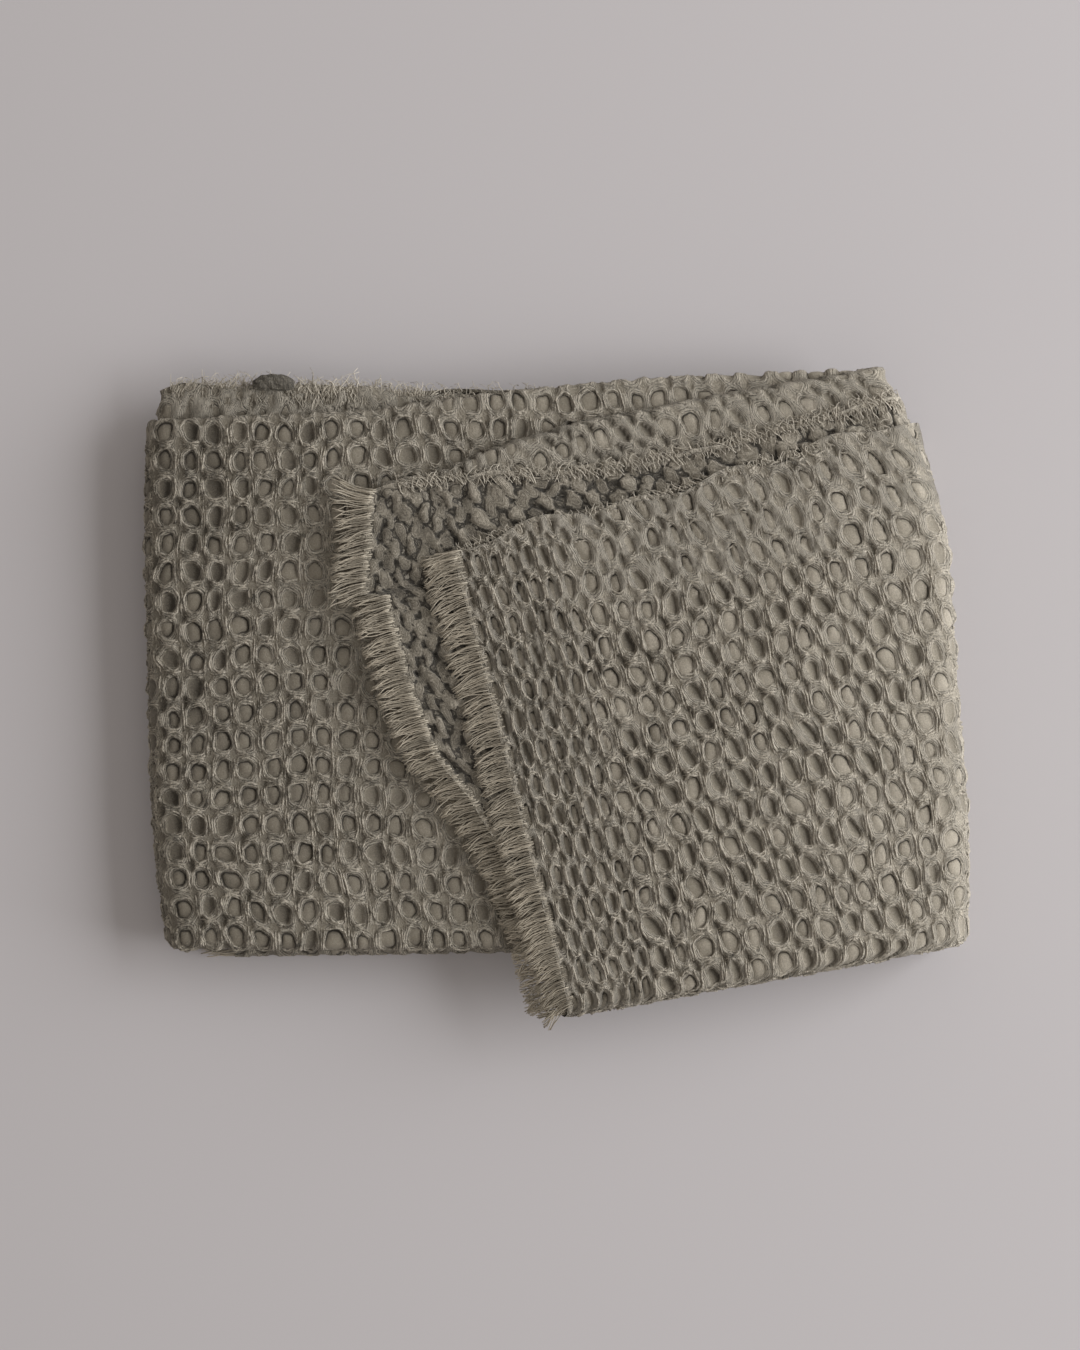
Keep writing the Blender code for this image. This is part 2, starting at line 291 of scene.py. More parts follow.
def relief(u, v, left, facing, depth, lean):
    """Height of the right side in mm over its mean plane, and what the threads do there: round is the
    ring round the cell's centre with the cosine and sine of the place on it, floats the share of long
    floats, and the third the share of the gap round a popped disc, which the material grooves and
    paints dark as painted shade. Facing is 1 where the discs tip towards more s
    and -1 towards less; lean, from 0 to 1, is how far the cells lean over and open up.
    In a cell: a disc, either popped up inside a thin crevice, or tipped down to one side, so that its
    far side lies deep under the wall of floats. Half a cell off: a smaller pad, tipped too. Between
    them the floats of warp stand highest, in wavy ridges along the columns of cells, and the floats of
    weft lie lower in bundles."""
    ropes = smooth(END_ROPES + 12, END_ROPES - 15, left)
    lean = lean * (1 - 0.75 * ropes)
    i, j = np.floor(u + 0.5), np.floor(v + 0.5)
    draw = drawn(i, j)
    du = u - i + 0.12 * (draw[0] - 0.5)
    dv = v - j + 0.10 * (draw[1] - 0.5)
    dv = dv + 0.22 * ropes * (drawn(i, 0 * j)[0] - 0.5)
    popped = smooth(0.48, 0.52, draw[7] + 0.24 - 0.20 * lean + 0.08 * ropes)
    dv = dv + du * 0.35 * (draw[2] - 0.5)
    du = du + dv * (0.20 * (draw[10] - 0.5) - (0.06 + 0.22 * lean) * facing * (1 - 0.7 * popped))
    wide = 0.16 + 0.08 * draw[3] - 0.035 * ropes + 0.04 * (1 - lean) * (1 - ropes)
    wide = wide + popped * (0.005 + 0.02 * lean + 0.02 * draw[4])
    tall = 0.25 + 0.08 * draw[4]
    r = (np.abs(du / wide) ** 2.4 + np.abs(dv / tall) ** 2.4) ** (1 / 2.4)
    angle = np.arctan2(dv / tall, du / wide)
    r = r * (1 + 0.06 * np.sin(3 * angle + 6.3 * draw[5]) + 0.04 * np.sin(5 * angle + 6.3 * draw[6]))
    tip = 0.30 + 0.70 * lean + 0.6 * draw[9]
    side = np.clip(du / wide + 0.35 * (draw[11] - 0.5) * dv / tall, -1.1, 1.1)
    sunk_disc = -1.05 - 0.62 * lean + 0.5 * ropes - tip * side * facing - 0.9 * (draw[8] - 0.5)
    popped_disc = -0.85 + 0.8 * draw[8] + 0.2 * lean + 0.60 * np.clip(1 - r * r, 0, 1)
    popped_disc = popped_disc + 0.9 * (draw[9] - 0.45) * facing * du / wide
    popped_disc = popped_disc + 0.8 * (draw[6] - 0.5) * dv / tall
    uneven = 0.55 + 0.45 * np.cos(angle - 2.2 * draw[1] - math.pi / 2 * (1 - facing))
    groove = -(0.9 + 1.0 * draw[5]) * np.exp(-(((r - 1.04) / 0.16) ** 2)) * uneven
    disc = sunk_disc + popped * (popped_disc + groove - sunk_disc)
    # How strongly the crevice round a popped disc shows: the material grooves it in the bump and paints
    # it dark, as painted shade.
    shaded_crevice = popped * uneven * (0.5 + 0.6 * draw[5])
    wall = smooth(0.96, 1.32, r)

    pi, pj = np.floor(u), np.floor(v)
    draw = drawn(pi + 31, pj + 17)
    pu = u - pi - 0.5 + 0.12 * (draw[0] - 0.5)
    pv = v - pj - 0.5 + 0.10 * (draw[1] - 0.5)
    pu = pu - pv * ((0.06 + 0.22 * lean) * facing - 0.15 * (draw[2] - 0.3))
    pad_wide = 0.165 + 0.06 * draw[3]
    pr = np.sqrt((pu / pad_wide) ** 2 + (pv / (0.21 + 0.07 * draw[4])) ** 2)
    inside = 1 - smooth(0.75, 1.30, pr)
    tipped = smooth(0.15, 0.35, draw[7] - 0.45 + 0.45 * lean) * (0.55 + 0.45 * lean)
    slope = 0.2 + (0.9 + 0.8 * draw[8]) * tipped
    pad = -(0.30 + 1.15 * tipped) - slope * facing * np.clip(pu / pad_wide, -1.1, 1.1)

    column = np.exp(-(((np.abs(du) - 0.5) / (0.12 + 0.06 * ropes)) ** 2))
    column = column * (np.exp(-((dv / 0.36) ** 2)) * (1 - ropes) + 1.6 * ropes)
    bundle = np.exp(-(((np.abs(dv) - 0.5) / 0.16) ** 2)) * np.exp(-((du / 0.30) ** 2))
    net = 0.50 + 0.35 * ropes + 0.70 * column - 0.35 * bundle
    net = net + 0.30 * waves(u * 14, v * 16, 5, 4.2) + 0.34 * waves(u * 14, v * 16, 6, 9)
    net = net + (pad - net) * inside
    height = (net * wall + disc * (1 - wall)) * depth
    floats = wall * (1 - 0.85 * inside) * (1 + 0.5 * ropes)

    return with_heading({"height": height, "floats": floats, "shaded_crevice": shaded_crevice}, r, angle, left, 0.35)


def with_heading(surface, ring, angle, left, rise):
    """Turns the relief into the plain heading near the end: a few yarns of weft, side by side along
    it. The ring and the angle become the round attribute."""
    uneven_left = left + 0.8 * waves(angle * 0 + left, ring, 8, 6)
    plain = 1 - smooth(END_HEADING - 1.0, END_HEADING + 2.5, uneven_left)
    yarns = rise + 0.18 * np.sin(2 * math.pi * left / 1.9)
    surface["height"] = surface["height"] * (1 - plain) + plain * yarns
    surface["floats"] = np.maximum(surface["floats"], 0.8 * plain)
    surface["shaded_crevice"] = surface["shaded_crevice"] * (1 - plain)
    ring = ring * (1 - plain) + plain * (1.3 + left / 4.0)
    surface["round"] = np.stack([ring, np.cos(angle), np.sin(angle)], -1)
    return surface


def reverse_relief(u, v, left):
    """The same for the wrong side, where the discs and pads swell out as soft crumpled pillows with
    narrow crevices between them."""
    u = u + 0.09 * waves(u * 14, v * 16, 21, 12) + 0.05 * waves(u * 14, v * 16, 23, 5)
    v = v + 0.09 * waves(u * 14, v * 16, 22, 13)
    nearest, next_one, own, round_it = 9.0, 9.0, 0.0, 0.0
    for shift, wide, tall in ((0.0, 0.37, 0.44), (0.5, 0.33, 0.40)):
        i, j = np.floor(u + 0.5 - shift), np.floor(v + 0.5 - shift)
        draw = drawn(i + 7 + 40 * shift, j + 3)
        du = u - i - shift + 0.16 * (draw[0] - 0.5)
        dv = v - j - shift + 0.14 * (draw[1] - 0.5)
        du = du + dv * 0.8 * (draw[2] - 0.4)
        r = np.hypot(du / (wide * (0.8 + 0.4 * draw[3])), dv / (tall * (0.8 + 0.4 * draw[4])))
        closer = r < nearest
        next_one = np.where(closer, nearest, r)
        own = np.where(closer, draw[5], own)
        round_it = np.where(closer, np.arctan2(dv, du), round_it)
        nearest = np.where(closer, r, nearest)
    crease = 1 - smooth(0.0, 0.20, next_one - nearest)
    swell = np.sqrt(np.clip(1.25 - nearest**2, 0, 1.25))
    height = -1.8 + (0.7 + 0.9 * own) * swell - 1.2 * crease + 0.7 * waves(u * 14, v * 16, 24, 15)
    floats = 0.25 + 0.5 * smooth(0.6, 1.1, nearest)
    # The creases between the pillows get the crevice darkening too: painted shade.
    surface = {"height": height, "floats": floats, "shaded_crevice": 0.6 + 0.6 * own}
    return with_heading(surface, nearest + (1.03 - nearest) * crease, round_it, left, 0.1)


def washed_linen(name, light, middle, dark):
    """Linen seen from its right side. Colour goes from dark in the cells to light on the floats, by the
    height attribute: painted shade in the cells and hollows and a painted highlight on the floats. With
    it go slubs and slow patches, painted shade in the gaps between threads and in the crevices, and
    painted light that falls off towards the left, away from the window. Bump: threads that follow the
    rings of the round attribute where the floats are, fibres drawn out along them, plain weave on the
    discs and pads, and fuzz everywhere."""
    material = bpy.data.materials.new(name)
    material.use_nodes = True
    nodes, links = material.node_tree.nodes, material.node_tree.links
    shader = nodes["Principled BSDF"]

    def node(kind, inputs=(), output=0, **settings):
        made = nodes.new(kind)
        for key, value in settings.items():
            setattr(made, key, value)
        for socket, value in dict(inputs).items():
            if isinstance(value, bpy.types.NodeSocket):
                links.new(value, made.inputs[socket])
            else:
                made.inputs[socket].default_value = value
        return made.outputs[output]

    def maths(operation, *values):
        return node("ShaderNodeMath", enumerate(values), operation=operation)

    def noise(scale, detail, roughness=0.5, distortion=0.0):
        inputs = {"Vector": place, "Scale": scale, "Detail": detail}
        inputs.update({"Roughness": roughness, "Distortion": distortion})
        return maths("SUBTRACT", node("ShaderNodeTexNoise", inputs), 0.5)

    place = node("ShaderNodeTexCoord", output="Object")
    weave = nodes.new("ShaderNodeSeparateXYZ")
    links.new(node("ShaderNodeUVMap", uv_map="weave"), weave.inputs[0])
    rings = node("ShaderNodeAttribute", output="Vector", attribute_name="round")
    ring = node("ShaderNodeSeparateXYZ", {0: rings})
    height = node("ShaderNodeAttribute", output="Fac", attribute_name="height")
    floats = node("ShaderNodeAttribute", output="Fac", attribute_name="floats")
    shaded_crevice = node("ShaderNodeAttribute", output="Fac", attribute_name="shaded_crevice")

    wander = noise(260.0, 2.0)
    phase = maths("MULTIPLY", maths("ADD", ring, maths("MULTIPLY", wander, 0.5)), 19.0)
    threads = maths("POWER", maths("ADD", maths("MULTIPLY", maths("SINE", phase), 0.5), 0.5), 0.6)
    threads = maths("MULTIPLY", maths("SUBTRACT", threads, 0.6), floats)
    apart = node("ShaderNodeVectorMath", {0: rings, 1: (9.0, 1.4, 1.4)}, operation="MULTIPLY")
    apart = node("ShaderNodeVectorMath", {0: place, 1: (150.0,) * 3, 2: apart}, operation="MULTIPLY_ADD")
    fibres = node("ShaderNodeTexNoise", {"Vector": apart, "Scale": 1.0, "Detail": 4.0, "Roughness": 0.65})
    fibres = maths("MULTIPLY", maths("SUBTRACT", fibres, 0.5), maths("ADD", floats, 0.15))
    # The thin line of the crevice round a popped disc, for a groove in the bump and painted shade in the
    # colour.
    near = maths("ADD", ring, maths("MULTIPLY", wander, 0.12))
    near = maths("DIVIDE", maths("SUBTRACT", near, 1.03), 0.085)
    near = maths("EXPONENT", maths("MULTIPLY", maths("MULTIPLY", near, near), -1.0))
    shaded_crevice = maths("MULTIPLY", shaded_crevice, near)
    strays = noise(520.0, 3.0, 0.6, 1.8)
    strays = maths("MULTIPLY", strays, maths("ADD", maths("MULTIPLY", floats, 0.8), 0.25))
    crosswise = maths("SINE", maths("MULTIPLY", weave.outputs[0], 105.0))
    plain = maths("MULTIPLY", crosswise, maths("SINE", maths("MULTIPLY", weave.outputs[1], 120.0)))
    fuzz = noise(1400.0, 3.0, 0.7)
    bumps = maths("MULTIPLY", threads, 2.0)
    for part, weight in ((fibres, 5.6), (plain, 0.3), (shaded_crevice, -1.4), (strays, 3.2), (fuzz, 1.0)):
        bumps = maths("ADD", bumps, maths("MULTIPLY", part, weight))
    bump = nodes.new("ShaderNodeBump")
    bump.inputs["Strength"].default_value = 1.0
    bump.inputs["Distance"].default_value = 0.0007
    links.new(bumps, bump.inputs["Height"])
    links.new(bump.outputs[0], shader.inputs["Normal"])

    # The colour ramp by height: painted shade that darkens the cells and hollows, and a painted highlight
    # on the floats, which the floats term below lightens further.
    share = node("ShaderNodeMapRange", {"Value": height, "From Min": -3.2, "From Max": 2.4})
    # In the colour, the threads darken their gaps and lighten their crests, painted shade and highlight
    # at the scale of the threads; the crevice term paints the crevice dark as shade.
    weights = [(threads, 0.6), (fibres, 2.2), (shaded_crevice, -0.9), (strays, 1.5), (fuzz, 0.4)]
    # The x place in the colour: the linen is painted lighter towards the right and darker towards the
    # left, painted light falling off away from the window.
    sideways = node("ShaderNodeSeparateXYZ", {0: place})
    for part, weight in weights + [(noise(22.0, 3.0), 0.30), (floats, 0.20), (sideways, 0.75)]:
        share = maths("ADD", share, maths("MULTIPLY", part, weight))
    ramp = nodes.new("ShaderNodeValToRGB")
    links.new(share, ramp.inputs[0])
    ramp.color_ramp.elements[0].color = (*dark, 1)
    ramp.color_ramp.elements[1].color = (*light, 1)
    ramp.color_ramp.elements[1].position = 0.95
    ramp.color_ramp.elements.new(0.55).color = (*middle, 1)
    links.new(ramp.outputs[0], shader.inputs["Base Color"])
    shader.inputs["Roughness"].default_value = 0.92
    shader.inputs["Specular IOR Level"].default_value = 0.2
    shader.inputs["Sheen Weight"].default_value = 0.15
    shader.inputs["Sheen Roughness"].default_value = 0.6
    return material


linen = washed_linen("washed_linen", (0.745, 0.67, 0.55), (0.378, 0.333, 0.262), (0.085, 0.073, 0.055))


def character(s, w):
    """Which way the discs tip, always down to the right as the blanket lies; how deep the weave is,
    deepest at the left fold and shallower at the right end of the last pass; and how far the cells lean
    over, most in the last pass."""
    fold = sum(STARTS[2]) + math.pi * TURN / 2
    facing = np.clip((fold - s) / 8, -1, 1)
    facing = facing * np.where(s < sum(STARTS[1]) + math.pi * TURN / 2, -1, 1)
    at_left = np.exp(-(((s - STARTS[2][0]) / 45) ** 2))
    lean = smooth(-20, 60, s - fold)
    shallow = smooth(0, 60, s - fold) * smooth(200, 80, s - fold)
    depth = 0.85 + 0.45 * at_left + 0.15 * lean - 0.20 * shallow
    return facing, depth, lean


def across_steps(first, last, step):
    """q at equal distances of about one step across the sheet, from first to last."""
    widths = {0: 150.0, 2: 165.0, 4: 165.0, 6: 162.0}
    found = []
    for part in range(7):
        low, high = max(first, part), min(last, part + 1)
        if low >= high:
            continue
        if part % 2:
            radius = OUTER_TURN + SHEET / 2 if part == 1 else INNER_TURN + SHEET / 2
            size = math.pi * radius * (high - low)
            found.append(np.linspace(low, high, max(3, round(size / step)) + 1))
            continue
        forward = part in (2, 6)
        shares = np.arange(len(CREASES) + 1) / len(CREASES)
        places = np.array(CREASES + (widths[part],))
        ends = [low - part, high - part] if forward else [part + 1 - low, part + 1 - high]
        w0, w1 = np.interp(ends, shares, places)
        places_between = np.linspace(w0, w1, max(2, round(abs(w1 - w0) / step)) + 1)
        share = np.interp(places_between, places, shares)
        found.append(part + share if forward else part + 1 - share)
    return np.unique(np.round(np.concatenate(found), 7))


def along_steps(first, last, step):
    """s at equal distances of about one step on the outermost layer, from first to last."""
    found = []
    for number, (start, length) in enumerate(STARTS):
        for low, high, stretch in (
            (start, start + length, 1.0),
            (start + length, start + length + math.pi * TURN, (TURN + OUTER_TURN + SHEET / 2) / TURN),
        ):
            if number == 3 and low > start:
                continue
            low, high = max(first, low), min(last, high)
            if low < high:
                found.append(np.linspace(low, high, max(2, round((high - low) * stretch / step)) + 1))
    return np.unique(np.round(np.concatenate(found), 6))


def cloth_grid(q_values, s_values):
    """The grid of q and s. In the last pass s is stretched, so that each layer ends at its own step."""
    q, s = np.meshgrid(q_values, s_values, indexing="ij")
    last, length = STARTS[3]
    return q, s + end_step(q, section(q, s)[0]) * np.clip((s - last) / length, 0, 1)


def cut_size(q_values, s_values):
    """Width and length to which this stretch was cut: the mean of the grid's lengths each way, flat."""
    q, s = cloth_grid(q_values, s_values)
    w, h, _, _ = section(q, s)
    flat = laid(s, w, h) * MM
    ways = [np.linalg.norm(np.diff(flat, axis=n), axis=-1).sum(n).mean() for n in (0, 1)]
    return tuple(map(float, ways))


def piece_of_cloth(name, q_values, s_values, wrong_side=False, smooth_one=False, declared=True):
    """One stretch of the sheet. A point is the middle of the sheet, moved out along the normal of the
    section by half the thickness and the relief, and then laid in its pass. The free edges behind
    ruffle up and down a little. A smooth one has no relief: it lies out of sight."""
    q, s = cloth_grid(q_values, s_values)
    w, h, across, up = section(q, s)
    u, v, left = cells(q, s)
    _, second, first = edges(s)
    free = np.where(q < 1, first - w, np.where(q > 6, second - w, 99.0))
    h = h + 1.3 * np.exp(-free / 6) * waves(s, q * 40, 31, 26)
    w = w + 2.6 * np.exp(-free / 9) * waves(s, q * 40, 32, 44)
    if smooth_one:
        none = np.zeros_like(u)
        surface = {"height": none, "floats": none, "shaded_crevice": none}
        surface["round"] = np.stack([none + 2] * 3, -1)
        out = none
    else:
        from_edge = np.minimum(left, np.maximum(free, 0) + 1)
        if wrong_side:
            surface = reverse_relief(u, v, from_edge)
        else:
            surface = relief(u, v, from_edge, *character(s, w))
        out = (-1.0 if wrong_side else 1.0) * (SHEET / 2 + surface["height"])
    points = laid(s, w + out * across, h + out * up) * MM
    points[..., 2] = np.maximum(points[..., 2], 0.15 * MM)
    piece = sheet_mesh(name, points, (u, v), surface, wrong_side)
    if declared:
        cut_size(q_values, s_values)
    return piece


def sheet_mesh(name, points, weave, surface, wrong_side):
    """Quads between the points of the grid, facing the side that shows, with the weave coordinates as
    the UV map and the relief's values as attributes."""
    rows, columns = points.shape[:2]
    index = np.arange(rows * columns).reshape(rows, columns)
    a, b, c, d = index[:-1, :-1], index[1:, :-1], index[1:, 1:], index[:-1, 1:]
    faces = np.stack([a, b, c, d] if wrong_side else [a, d, c, b], axis=-1).reshape(-1, 4)
    mesh = bpy.data.meshes.new(name)
    mesh.vertices.add(rows * columns)
    mesh.vertices.foreach_set("co", points.reshape(-1).astype(np.float32))
    mesh.loops.add(faces.size)
    mesh.loops.foreach_set("vertex_index", faces.reshape(-1).astype(np.int32))
    mesh.polygons.add(len(faces))
    mesh.polygons.foreach_set("loop_start", np.arange(0, faces.size, 4, dtype=np.int32))
    mesh.update(calc_edges=True)
    uv = np.stack([weave[0].reshape(-1), weave[1].reshape(-1)], axis=-1)[faces.reshape(-1)]
    mesh.uv_layers.new(name="weave").data.foreach_set("uv", uv.reshape(-1).astype(np.float32))
    for key, values in surface.items():
        kind, field = ("FLOAT_VECTOR", "vector") if values.ndim == 3 else ("FLOAT", "value")
        attribute = mesh.attributes.new(key, kind, "POINT")
        attribute.data.foreach_set(field, values.reshape(-1).astype(np.float32))
    return linked(name, mesh, linen)


def linked(name, mesh, material):
    """A piece made of a mesh."""
    mesh.materials.append(material)
    mesh.shade_smooth()
    piece = bpy.data.objects.new(name, mesh)
    bpy.context.scene.collection.objects.link(piece)
    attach(piece, "root")
    return piece


def q_at(path, s):
    """q of a place on the path round the section that cells() counts, on layers 1 and 4."""
    back, _, first = edges(s)
    fold, count = math.pi * OUTER_TURN, len(CREASES)
    w = np.where(path > 0, path, -path - fold) + FOLD_AT
    beyond = (w - CREASES[-1]) / (np.where(path > 0, back, first) - CREASES[-1])
    share = (np.interp(w, CREASES, np.arange(count)) + np.clip(beyond, 0, 1)) / count
    return np.select([path > 0, path > -fold], [2 + share, 2 + path / fold], 1 - share - 1e-9)


def found(u, v, s):
    """q and s where the weave coordinates are u and v, found step by step from a first s, and how far
    off they still are."""
    path = v * CELL_ACROSS
    for _ in range(9):
        q = q_at(path, s)
        u_here, v_here, _ = cells(q, s)
        s = s + (u - u_here) * 11.5
        path = path + (v - v_here) * CELL_ACROSS
    return q, s, np.maximum(np.abs(u - u_here), np.abs(v - v_here))


FLOAT_STEPS = 7
FLOAT_WIDE, FLOAT_TALL = 0.50, 0.95  # half the width of a float, and its height


def long_floats(name, q_ends, s_ends, seed):
    """The floats that stand out of the net, one low ridge each: four of weft in a bundle between a cell
    and the next across the strip, three of warp between it and the next along the strip. They lie close
    together in the middle of the bundle and spread round the cells at its ends, where they go under."""
    rng = np.random.default_rng(seed)
    s_line = np.linspace(*s_ends, 80)
    u_line = cells(np.full(80, (q_ends[0] + q_ends[1]) / 2), s_line)[0]
    corner_u, corner_v, _ = cells(*np.meshgrid(np.linspace(*q_ends, 30), s_line))
    i, j = np.meshgrid(
        np.arange(math.floor(corner_u.min()), math.ceil(corner_u.max()) + 1),
        np.arange(math.floor(corner_v.min()), math.ceil(corner_v.max()) + 1),
    )
    t = np.linspace(-1, 1, FLOAT_STEPS + 1)[None]
    us, vs = [], []
    for weft, offsets in ((True, (-0.135, -0.045, 0.045, 0.135)), (False, (-0.10, 0.0, 0.10))):
        for offset in offsets:
            draw = rng.random((5, i.size, 1))
            bow = (offset + 0.035 * (draw[0] - 0.5)) * (0.8 + 0.8 * t**2)
            bow = bow + 0.025 * np.sin(4 * t + 6.3 * draw[1])
            long = (0.34 if weft else 0.43) * (0.70 + 0.55 * draw[2]) * t + 0.10 * (draw[3] - 0.5)
            keep = draw[4, :, 0] > 0.10
            us.append((i.reshape(-1, 1) + (long if weft else 0.5 + bow))[keep])
            vs.append((j.reshape(-1, 1) + (0.5 + bow if weft else long))[keep])
    u, v = np.concatenate(us), np.concatenate(vs)
    q, s, wrong = found(u, v, np.interp(u, u_line, s_line))
    inside = (q > q_ends[0]) & (q < q_ends[1]) & (s > s_ends[0]) & (s < s_ends[1]) & (wrong < 0.02)
    good = inside.all(axis=1)
    q, s = q[good], s[good]
    w, h, across, up = section(q, s)
    u, v, left = cells(q, s)
    ground = relief(u, v, left, *character(s, w))["height"]
    draw = rng.random((len(q), 1))
    out = SHEET / 2 + ground + (0.25 + 0.5 * draw - 0.9 * np.abs(t) ** 3)
    line, above = [laid(s, w + o * across, h + o * up) * MM for o in (out, out + 1.0)]
    normal = unit(above - line)
    side = unit(np.cross(np.gradient(line, axis=1), normal))
    side = side * FLOAT_WIDE * MM * (0.8 + 0.4 * draw[..., None])
    low = line - normal * FLOAT_TALL * 0.5 * MM
    corners = np.stack([low - side, line + normal * FLOAT_TALL * 0.5 * MM, low + side], axis=2)
    index = np.arange(corners[..., 0].size).reshape(corners.shape[:3])
    a, b, c, d = index[:, :-1, :-1], index[:, 1:, :-1], index[:, 1:, 1:], index[:, :-1, 1:]
    mesh = bpy.data.meshes.new(name)
    mesh.from_pydata(corners.reshape(-1, 3), [], np.stack([a, b, c, d], axis=-1).reshape(-1, 4))
    # The height attribute is low at a float's two sides and high on its ridge, so that the linen's ramp
    # paints the sides dark and the ridge light: painted shade and highlight.
    edge = np.array([-1.0, 0.8, -1.0]) + 0.9 * draw[..., None] + 0 * index
    for key, values in (("height", edge), ("floats", np.ones(edge.size))):
        attribute = mesh.attributes.new(key, "FLOAT", "POINT")
        attribute.data.foreach_set("value", values.reshape(-1).astype(np.float32))
    return linked(name, mesh, linen)


TOP_SEEN = 0.64  # share of the third pass that shows in full
TOP_STEP = 1.1
left_fold = sum(STARTS[1])
top_grid = (
    across_steps(1.0, 4.0, TOP_STEP),
    along_steps(left_fold, place_in_pass(2, TOP_SEEN), TOP_STEP),
)
stack_top = piece_of_cloth("stack_top", *top_grid, declared=False)
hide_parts("cloth")
stack_floats = long_floats("stack_floats", (1.2, 3.0), (left_fold, place_in_pass(2, TOP_SEEN)), 1)
cut_size(*top_grid)
stack_top_back = piece_of_cloth(
    "stack_top_back",
    across_steps(2.80, 4.0, TOP_STEP),
    along_steps(place_in_pass(2, TOP_SEEN), sum(STARTS[2]), TOP_STEP),
)

# ---------------------------------------------------------------------------------------------
# The end turned back over the stack: layer 1 of the fourth pass, its right side up, from the
# third crosswise fold to the fringed end, with the rounded front edge that hangs over.
# ---------------------------------------------------------------------------------------------

FLAP_STEP = 1.05
flap_grid = across_steps(0.0, 2.0, FLAP_STEP), along_steps(sum(STARTS[2]), LAST, FLAP_STEP)
flap_top = piece_of_cloth("flap_top", *flap_grid, declared=False)
flap_floats = long_floats("flap_floats", (0.0, 1.9), (sum(STARTS[2]), LAST - 1), 2)

# Layer 2 under it, wrong side up, which shows between the two selvedges and at the end.
flap_second_layer = piece_of_cloth(
    "flap_second_layer",
    across_steps(6.78, 7.0, 1.25),
    along_steps(sum(STARTS[2]), LAST, 1.25),
    wrong_side=True,
)
flap_second_layer_end = piece_of_cloth(
    "flap_second_layer_end",
    across_steps(6.0, 6.78, 1.25),
    along_steps(LAST - 60, LAST, 1.25),
    wrong_side=True,
)
# The back fold and the strip of layer 3 beside it.
flap_back_fold = piece_of_cloth(
    "flap_back_fold",
    across_steps(2.95, 4.22, 1.4),
    along_steps(sum(STARTS[2]), LAST, 1.4),
)

# ---------------------------------------------------------------------------------------------
# What the fold hides or shows only from the side: the edges of the lower passes, the right
# folds, the underside and the layers inside.
# ---------------------------------------------------------------------------------------------

EDGE_STEP = 2.0
UNDERSIDE_STEP = 3.2
underside_grid = across_steps(0.0, 1.0, UNDERSIDE_STEP), along_steps(0.0, STARTS[0][1], UNDERSIDE_STEP)
underside = piece_of_cloth("underside", *underside_grid, declared=False)
for name, part, stretch, step in (
    ("first_right_fold", (0.0, 1.0), (STARTS[0][1], STARTS[1][0] + 30), EDGE_STEP),
    ("lower_front_edge", (1.0, 2.04), (0.0, left_fold), EDGE_STEP),
    ("third_pass_front_edge", (1.0, 2.04), (place_in_pass(2, TOP_SEEN), sum(STARTS[2])), EDGE_STEP),
    ("lower_back_folds", (2.93, 4.07), (0.0, left_fold), EDGE_STEP),
):
    piece_of_cloth(name, across_steps(*part, step), along_steps(*stretch, step))

# The two selvedges of each lower pass, which stick out past the back fold. The right side is up on
# layer 1 of the second pass and on layer 2 of the others.
half_turn = math.pi * TURN / 2
for name, number, part, wrong_side in (
    ("first_pass_second_selvedge", 0, (6.80, 7.0), False),
    ("second_pass_first_selvedge", 1, (0.0, 0.20), False),
    ("second_pass_second_selvedge", 1, (6.80, 7.0), True),
    ("third_pass_first_selvedge", 2, (0.0, 0.20), True),
    ("third_pass_second_selvedge", 2, (6.80, 7.0), False),
):
    low = STARTS[number][0] + (30 if number == 1 and part[0] == 0 else -half_turn * (number > 0))
    stretch = along_steps(low, sum(STARTS[number]) + half_turn, 2.5)
    piece_of_cloth(name, across_steps(*part, 2.5), stretch, wrong_side=wrong_side)

# A bit of the selvedge that has curled up behind the left end of the back fold.
CURL_PLACE, CURL_LONG, CURL_RADIUS = (-163.0, 179.2, 39.0), 24.0, 4.6
round_it, along_it = np.meshgrid(np.linspace(-0.9, 3.3, 36), np.linspace(-1, 1, 34), indexing="ij")
plump = CURL_RADIUS * (1 - 0.55 * along_it**4) + 0.35 * waves(round_it * 6, along_it * 12, 41, 5)
curl_points = np.stack(
    [
        CURL_PLACE[0] + along_it * CURL_LONG / 2,
        CURL_PLACE[1] + plump * np.cos(round_it) - 1.5 * along_it**2,
        CURL_PLACE[2] + plump * np.sin(round_it) * 0.9,
    ],
    -1,
)
# Its height is set low all over, so that the linen's colour ramp paints the curl dark: painted shade,
# where it lies under the top layers.
shaded_curl_height = -2.2 + 0.9 * waves(round_it * 9, along_it * 20, 43, 4)
curl_surface = {"height": shaded_curl_height, "floats": shaded_curl_height * 0 + 0.8, "shaded_crevice": shaded_curl_height * 0}
curl_surface["round"] = np.stack([along_it * 9, round_it, round_it * 0], -1)
curled_edge = sheet_mesh("curled_edge", curl_points * MM, (along_it, round_it), curl_surface, False)

# The layers inside, on a coarse grid.
for name, part, stretch in (
    ("inner_layers", (4.07, 6.78), (0.0, LAST - 60)),
    ("inner_layers_end", (4.22, 6.0), (LAST - 60, LAST)),
    ("lower_fourth_layer", (2.04, 2.93), (0.0, left_fold)),
    ("flap_fourth_layer", (2.0, 2.95), (sum(STARTS[2]), LAST)),
    ("inner_first_layer", (0.20, 1.0), (STARTS[1][0] + 30, sum(STARTS[2]))),
):
    piece_of_cloth(name, across_steps(*part, 10.0), along_steps(*stretch, 10.0), smooth_one=True)

# ---------------------------------------------------------------------------------------------
# The fringes: the warp left unwoven at both ends, two-ply linen yarns 20 mm long, washed into
# clumps. They start inside the plain heading and lie on what is under them.
# ---------------------------------------------------------------------------------------------

FRINGE = 20.0
YARN = 0.36  # radius of a yarn
ROOT = 3.2  # how far a yarn starts inside the heading
STRETCHES = 7  # straight stretches in a yarn


